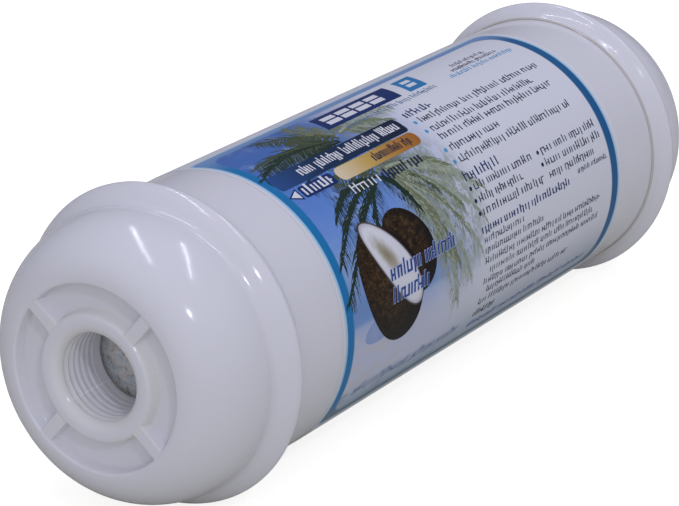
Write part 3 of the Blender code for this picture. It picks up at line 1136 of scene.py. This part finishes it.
def husk_finish(name, size, *oval):
    """Hairy brown husk in tufts of about size millimetres, darker towards the edge of an oval."""
    finish = Finish(name, IOR=1.48, Roughness=0.34, Specular_IOR_Level=INK_SPECULAR)
    hair = finish.noise(size, 8.0, 0.78, (0.8, 1.5, 1.0), 1.2)
    dark, brown, tan = (0.007, 0.005, 0.003), (0.036, 0.021, 0.010), (0.13, 0.075, 0.032)
    tufts = finish.ramp(hair, (0.38, dark), (0.50, brown), (0.64, tan))
    edge = oval_distance(finish, *oval).fade(0.35, 1.25)
    finish.set("Base Color", finish.mix(tufts, (0.010, 0.008, 0.008), edge))
    return finish


def flesh_finish(white):
    """White flesh with a shaded hollow in its middle and a greyer rim."""
    finish = Finish("coconut_flesh_ink", IOR=1.48, Roughness=INK_ROUGHNESS, Specular_IOR_Level=INK_SPECULAR)
    x, angle, across, upright, lean, _ = COCONUT[-1]
    hollow = oval_distance(finish, (-34.1, 156.6), 2.1, 5.8, lean) + (finish.noise(1.5, 3.0) - 0.5) * 0.5
    shades = (0.0, (0.27, 0.25, 0.17)), (0.45, (0.44, 0.41, 0.31)), (0.75, (0.66, 0.65, 0.63)), (1.0, white)
    bowl = finish.ramp(hollow, *shades)
    rim = oval_distance(finish, (x, angle), across, upright, lean).fade(0.86, 1.02)
    finish.set("Base Color", finish.mix(bowl, (0.50, 0.51, 0.56), rim))
    return finish


class FILTER_OT_picture(bpy.types.Operator):
    """Print the label's picture of palm fronds and a halved coconut"""

    bl_idname = "filter.picture"
    bl_label = "Label Picture"

    def execute(self, context):
        label = context.scene.filter_label
        draw = random.Random(5)
        leaves = Print(lift=label.film / MM + 0.02, depth=0.015)
        for leaves.colour, *shape in FRONDS:
            frond(leaves, draw, *shape)
        inks = [ink_finish(f"frond_ink_{k + 1}", shade, 0.45, 1.0) for k, shade in enumerate(FROND_SHADES)]
        leaves.add("label_fronds", inks)

        nut = Print(lift=label.film / MM + 0.036, depth=0.025)
        for nut.colour, oval in enumerate(COCONUT):
            nut.oval(*oval)
        finishes = [
            shadow_finish(),
            husk_finish("far_husk_ink", 1.3, (-28.0, 156.5), 6.9, 8.4, -28),
            husk_finish("near_husk_ink", 0.9, (-36.9, 164.0), 8.4, 11.6, -27),
            ink_finish("coconut_shell_ink", (0.10, 0.075, 0.06), 0.4, 0.8),
            flesh_finish(tuple(label.vinyl)),
        ]
        nut.add("label_coconut", finishes)
        return {"FINISHED"}


# ---------------------------------------------------------------- filter bed

SLACK = 0.05  # how far a pad or the bed stays inside the radius it has in the frame


def disc_mesh(low, high, radius, edge, columns, face_rows, height, wall_rows=6):
    """(points, faces) of a soft-edged disc. height(point) is how deep its skin is pitted there."""
    outline = [(low, radius * k / face_rows) for k in range(1, face_rows)]
    outline += [(low, radius - edge), (low + edge * 0.3, radius - edge * 0.3)]
    outline += [(low + edge + (high - low - 2 * edge) * k / wall_rows, radius) for k in range(wall_rows + 1)]
    outline += [(high - edge * 0.3, radius - edge * 0.3), (high, radius - edge)]
    outline += [(high, radius * k / face_rows) for k in range(face_rows - 1, 0, -1)]
    middle = (low + high) / 2
    points = []
    for x, r in outline:
        for column in range(columns):
            point = Vector(round_point(x, r, 2 * math.pi * column / columns))
            on_face = r < radius - edge * 1.01
            inward = Vector((middle - x, 0, 0)) if on_face else -Vector((0, point.y, point.z))
            points.append(tuple(point + inward.normalized() * height(point)))
    faces = grid_faces(len(outline), columns, closed_rows=False)
    for row, x in ((0, low), (len(outline) - 1, high)):
        points.append((x + (middle - x) * 0.02, 0.0, 0.0))
        hub = len(points) - 1
        faces += [(hub, row * columns + c, row * columns + (c + 1) % columns) for c in range(columns)]
    return points, faces


def pores(size, depth):
    """Skin of open-cell foam: pits of about size millimetres."""
    return lambda point: depth * max(0.0, 0.75 - noise.voronoi(point / size)[0][0]) * 1.3


def fibres(size, depth):
    """Skin of needled felt: a shallow random nap."""
    return lambda point: depth * (0.5 + 0.5 * noise.noise(point / size))


def foam_finish(bed):
    """Open-cell foam: pale cell walls over cells darkened with painted shade, with a faint warm and cool
    mottle.
    """
    finish = Finish("open_cell_foam", Roughness=0.9, Specular_IOR_Level=0.25)
    blotch = finish.noise(1.1, 4.0, 0.65)
    tint = finish.mix((0.88, 0.84, 0.76), (0.76, 0.84, 0.82), finish.noise(1.9, 2.0).fade(0.4, 0.6))
    # Painted shade: where the noise is low, the foam's colour is darkened to 0.42 for the shade inside its
    # open cells.
    cells = finish.mix([c * 0.42 for c in bed.foam], tint, blotch.fade(0.30, 0.48))
    finish.set("Base Color", finish.mix(cells, bed.foam, blotch.fade(0.50, 0.66)))
    return finish.bump(finish.cells(0.5), 0.15)


def felt_finish(bed):
    """Needled felt: crossing strands, a shade apart."""
    finish = Finish("needled_felt", Roughness=0.95, Sheen_Weight=0.3, Sheen_Roughness=0.5)
    strands = finish.noise(0.5, 5.0, 0.7, (1.0, 0.35, 1.0), 2.0)
    finish.set("Base Color", finish.mix([c * 0.72 for c in bed.felt], bed.felt, strands.fade(0.35, 0.65)))
    return finish.bump(strands, 0.08)


class FILTER_OT_pads(bpy.types.Operator):
    """Build the foam and felt pads at both ends of the bed"""

    bl_idname = "filter.pads"
    bl_label = "Foam and Felt Pads"

    def execute(self, context):
        bed = context.scene.filter_bed
        foam, felt = foam_finish(bed), felt_finish(bed)
        for node, finish, slot, skin, fill in (
            ("outlet_foam_pad", foam, "foam", pores(1.15, 0.35), 1.0),
            ("inlet_foam_pad", foam, "foam", pores(1.15, 0.35), 1.0),
            ("outlet_felt_pad", felt, "felt", fibres(0.9, 0.2), 0.9),
            ("inlet_felt_pad", felt, "felt", fibres(0.9, 0.2), 0.9),
        ):
            low, high = span(node)
            mesh = disc_mesh(low, high, radius_of(node) - SLACK, 0.6, 120, 36, skin)
            piece = add_piece(f"{node}_body", *mesh, [finish], slot, [node], sharp=80.0)
        return {"FINISHED"}


class FILTER_OT_screen(bpy.types.Operator):
    """Weave the outlet screen"""

    bl_idname = "filter.screen"
    bl_label = "Outlet Screen"

    def execute(self, context):
        bed = context.scene.filter_bed
        low, high = span("outlet_mesh_screen")
        radius, wire, pitch = radius_of("outlet_mesh_screen"), bed.wire / MM, bed.wire_pitch / MM
        middle, sides, rim = (low + high) / 2, 6, 0.7
        points, faces = [], []
        count = int((radius - wire) / pitch)
        for across in (0, 1):
            for index in range(-count, count + 1):
                offset = index * pitch
                reach = math.sqrt(max((radius - 0.1) ** 2 - offset**2, 0.0)) - wire
                if reach < pitch:
                    continue
                rings = max(4, round(2 * reach / pitch * 2))
                start = len(points)
                for ring in range(rings + 1):
                    run = -reach + 2 * reach * ring / rings
                    weave = math.cos(math.pi * run / pitch) * (1 if (index + across) % 2 else -1)
                    for side in range(sides):
                        turn = 2 * math.pi * side / sides
                        x = middle + wire * 0.46 * weave + wire / 2 * math.cos(turn) * 0.98
                        beside = offset + wire / 2 * math.sin(turn)
                        points.append((x, run, beside) if across else (x, beside, run))
                faces += grid_faces(rings + 1, sides, closed_rows=False, start=start)
                faces.append(tuple(range(start + sides - 1, start - 1, -1)))
                faces.append(tuple(range(start + rings * sides, start + (rings + 1) * sides)))
        outline = [(low, radius - rim), (low, radius), (high, radius), (high, radius - rim)]
        ring_points, ring_faces = lathe(outline, 96)
        start = len(points)
        points += ring_points
        faces += [tuple(start + k for k in face) for face in ring_faces]
        finish = Finish("woven_screen_thread", Roughness=0.45, IOR=1.52)
        finish.vary((0.60, 0.60, 0.58), 0.08, 0.6)
        node = "outlet_mesh_screen"
        piece = add_piece("outlet_screen_weave", points, faces, [finish], "mesh_cloth", [node])
        return {"FINISHED"}


class FILTER_OT_carbon(bpy.types.Operator):
    """Pack the bed of granular activated carbon"""

    bl_idname = "filter.carbon"
    bl_label = "Carbon Bed"

    def execute(self, context):
        bed = context.scene.filter_bed
        low, high = span("carbon_bed")
        size = bed.grain / MM

        def granules(point):
            found = noise.voronoi(point / size)[0]
            return 0.42 * (1 - min(1.0, (found[1] - found[0]) * 2.2))

        finish = Finish("granular_carbon")
        tone = finish.cells(size, out="Color")
        sparkle = finish.add("ShaderNodeSeparateColor", sockets={0: tone})
        dull, bright = [c * 0.5 for c in bed.carbon], [min(1.0, c * 2.2) for c in bed.carbon]
        finish.set("Base Color", finish.mix(dull, bright, sparkle))
        finish.set("Roughness", finish.noise(0.6, 2.0) * 0.35 + 0.42)
        finish.bump(finish.noise(0.4, 3.0), 0.1)
        mesh = disc_mesh(low, high, radius_of("carbon_bed") - SLACK, 0.4, 180, 26, granules, wall_rows=130)
        add_piece("carbon_granules", *mesh, [finish], "carbon", ["carbon_bed"], sharp=80.0)
        return {"FINISHED"}


class FILTER_OT_spreader(bpy.types.Operator):
    """Mould the perforated plate behind the inlet"""

    bl_idname = "filter.spreader"
    bl_label = "Spreader Plate"

    def execute(self, context):
        shell = context.scene.filter_shell
        low, high = span("inlet_spreader_plate")
        radius, edge, hole = radius_of("inlet_spreader_plate"), 0.2, 1.1
        curve = bpy.data.curves.new("spreader_outline", "CURVE")
        curve.dimensions, curve.fill_mode = "2D", "BOTH"
        rings = [(0.0, 0.0, radius - edge, 96)]
        for count, ring in ((1, 0.0), (6, 5.2), (12, 10.4), (18, 15.6)):
            turns = [2 * math.pi * k / count for k in range(count)]
            rings += [(ring * math.cos(t), ring * math.sin(t), hole + edge, 20) for t in turns]
        for y, z, size, sides in rings:
            spline = curve.splines.new("POLY")
            spline.points.add(sides - 1)
            spline.use_cyclic_u = True
            for k, point in enumerate(spline.points):
                turn = 2 * math.pi * k / sides
                point.co = ((y + size * math.cos(turn)) * MM, (z + size * math.sin(turn)) * MM, 0, 1)
        curve.extrude = ((high - low) / 2 - edge) * MM
        curve.bevel_depth, curve.bevel_resolution = edge * MM, 1
        drawn = bpy.data.objects.new("spreader_outline", curve)
        bpy.context.scene.collection.objects.link(drawn)
        bpy.context.view_layer.update()
        flat = bpy.data.meshes.new_from_object(drawn.evaluated_get(bpy.context.evaluated_depsgraph_get()))
        bpy.data.objects.remove(drawn, do_unlink=True)
        joined = bmesh.new()
        joined.from_mesh(flat)
        bmesh.ops.remove_doubles(joined, verts=joined.verts, dist=1e-6)
        joined.verts.ensure_lookup_table()
        middle = (low + high) / 2
        points = [(middle + v.co.z / MM, v.co.x / MM, v.co.y / MM) for v in joined.verts]
        faces = [tuple(v.index for v in face.verts) for face in joined.faces]
        joined.free()
        finish = plastic_finish("spreader_plastic", shell.plastic, 0.4)
        node = "inlet_spreader_plate"
        add_piece("inlet_spreader_disc", points, faces, [finish], "polypropylene", [node], sharp=30.0)
        return {"FINISHED"}


# ---------------------------------------------------------------- stage

# Directions and places are in metres from the filter's middle
SKY_AIM = (-0.78, -0.48, 0.40)  # the brightest direction of the sky dome
STRIP_WIDTH = 0.035
STRIPS = (  # (name, one end, the other end)
    ("left_strip", (0.60, 0.81, 1.5), (-0.47, -0.06, 1.5)),
    ("right_strip", (0.80, -0.04, 1.5), (0.017, -0.80, 1.5)),
)
LAMP_DISTANCE = 2.0
SOFT_AIM, SOFT_SIZE = (-0.79, -0.50, 0.33), (0.8, 0.8)
FLASH_AIM, FLASH_SIZE = (-0.50, -0.62, 0.60), (0.05, 0.04)
CAMERA_PLACE = (-0.422208, -0.262002, 0.176592)
CAMERA_PITCH, CAMERA_TURN = 90 - 20.03, -57.43  # degrees up from straight down, and round from +Y
FLOOR_REACH = 6


def area_light(name, place, turn, size, power, tint):
    """A rectangular light at a place in metres from the filter's middle."""
    data = bpy.data.lights.new(name, "AREA")
    data.shape, data.size, data.size_y, data.energy, data.color = "RECTANGLE", *size, power, tint
    light = bpy.data.objects.new(name, data)
    light.location = Vector(place) + Vector((0, 0, AXIS_HEIGHT))
    light.rotation_euler = turn
    bpy.context.scene.collection.objects.link(light)
    return light


def front_light(name, aim, size, power, tint):
    """A light in front that faces the filter from the direction aim."""
    place = Vector(aim).normalized() * LAMP_DISTANCE
    return area_light(name, place, (-place).to_track_quat("-Z", "Y").to_euler(), size, power, tint)


def lay_floor(stage):
    """The plain floor, which the camera sees brighter than its light makes it."""
    reach = FLOOR_REACH
    mesh = bpy.data.meshes.new("floor")
    corners = [(-reach, -reach, 0), (reach, -reach, 0), (reach, reach, 0), (-reach, reach, 0)]
    mesh.from_pydata(corners, [], [(0, 1, 2, 3)])
    finish = Finish("matte_floor", Roughness=0.9, Specular_IOR_Level=0.1, Emission_Strength=1.0)
    finish.vary(stage.floor, 0.004, 300.0)
    seen = finish.add("ShaderNodeLightPath")
    finish.set("Emission Color", finish.mix((0.0, 0.0, 0.0), (stage.lift,) * 3, seen))
    mesh.materials.append(finish.material)
    floor = bpy.data.objects.new("floor", mesh)
    bpy.context.scene.collection.objects.link(floor)


def hang_sky(stage):
    """A sky dome that is brightest on the camera's side."""
    world = bpy.data.worlds.new("studio")
    world.use_nodes = True
    sky = Finish.over(world, "Background")
    place = sky.add("ShaderNodeTexCoord", out="Generated")
    sockets = {0: place, 1: Vector(SKY_AIM).normalized()}
    aim = sky.add("ShaderNodeVectorMath", {"operation": "DOT_PRODUCT"}, sockets, out="Value")
    sky.set("Strength", aim.fade(-0.9, 1.0) * (stage.fill - stage.dusk) + stage.dusk)
    sky.set("Color", tuple(stage.tint))
    bpy.context.scene.world = world


def hang_lights(stage):
    """Two long ceiling strips, a large soft light in front and a small bright one beside it."""
    for name, first, last in STRIPS:
        first, last = Vector(first), Vector(last)
        run = last - first
        turn = (0, 0, math.atan2(run.y, run.x))
        area_light(name, (first + last) / 2, turn, (run.length, STRIP_WIDTH), stage.strip, stage.tint)
    soft = front_light("front_fill", SOFT_AIM, SOFT_SIZE, stage.front, stage.tint)
    soft.visible_glossy = False
    front_light("front_flash", FLASH_AIM, FLASH_SIZE, stage.flash, stage.tint)


def place_camera(stage):
    """The camera, in front of the outlet and looking down at the printed panel."""
    data = bpy.data.cameras.new("camera")
    data.sensor_fit, data.sensor_width, data.lens = "HORIZONTAL", 36.0, stage.lens
    data.clip_start, data.clip_end = 0.01, 50.0
    camera = bpy.data.objects.new("camera", data)
    x, y, z = CAMERA_PLACE
    camera.location = (x, y, z + AXIS_HEIGHT)
    camera.rotation_euler = (math.radians(CAMERA_PITCH), 0, math.radians(CAMERA_TURN))
    bpy.context.scene.collection.objects.link(camera)
    bpy.context.scene.camera = camera


class FILTER_OT_stage(bpy.types.Operator):
    """Set up the floor, the lights and the camera"""

    bl_idname = "filter.stage"
    bl_label = "Stage"

    def execute(self, context):
        stage = context.scene.filter_stage
        lay_floor(stage)
        hang_sky(stage)
        hang_lights(stage)
        place_camera(stage)
        context.scene.view_settings.view_transform = "Standard"
        return {"FINISHED"}


# ---------------------------------------------------------------- add-on

OPERATORS = (
    FILTER_OT_caps, FILTER_OT_housing, FILTER_OT_label, FILTER_OT_print, FILTER_OT_picture,
    FILTER_OT_pads, FILTER_OT_screen, FILTER_OT_carbon, FILTER_OT_spreader, FILTER_OT_stage,
)
GROUPS = (
    ("filter_shell", ShellSettings),
    ("filter_label", LabelSettings),
    ("filter_bed", BedSettings),
    ("filter_stage", StageSettings),
)


class FILTER_PT_panel(bpy.types.Panel):
    """Lists the filter's pieces and their settings"""

    bl_idname = "FILTER_PT_panel"
    bl_label = "Inline Water Filter"
    bl_space_type = "VIEW_3D"
    bl_region_type = "UI"
    bl_category = "Filter"

    def draw(self, context):
        for operator in OPERATORS:
            self.layout.operator(operator.bl_idname)
        for name, group in GROUPS:
            box = self.layout.box()
            for prop in group.__annotations__:
                box.prop(getattr(context.scene, name), prop)


def register():
    for name, group in GROUPS:
        bpy.utils.register_class(group)
        setattr(bpy.types.Scene, name, bpy.props.PointerProperty(type=group))
    for cls in (*OPERATORS, FILTER_PT_panel):
        bpy.utils.register_class(cls)


def unregister():
    for cls in (FILTER_PT_panel, *reversed(OPERATORS)):
        bpy.utils.unregister_class(cls)
    for name, group in reversed(GROUPS):
        delattr(bpy.types.Scene, name)
        bpy.utils.unregister_class(group)


def main():
    """Builds every piece and the stage."""
    register()
    for operator in OPERATORS:
        category, name = operator.bl_idname.split(".")
        getattr(getattr(bpy.ops, category), name)()
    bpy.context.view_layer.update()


if __name__ == "__main__":
    main()
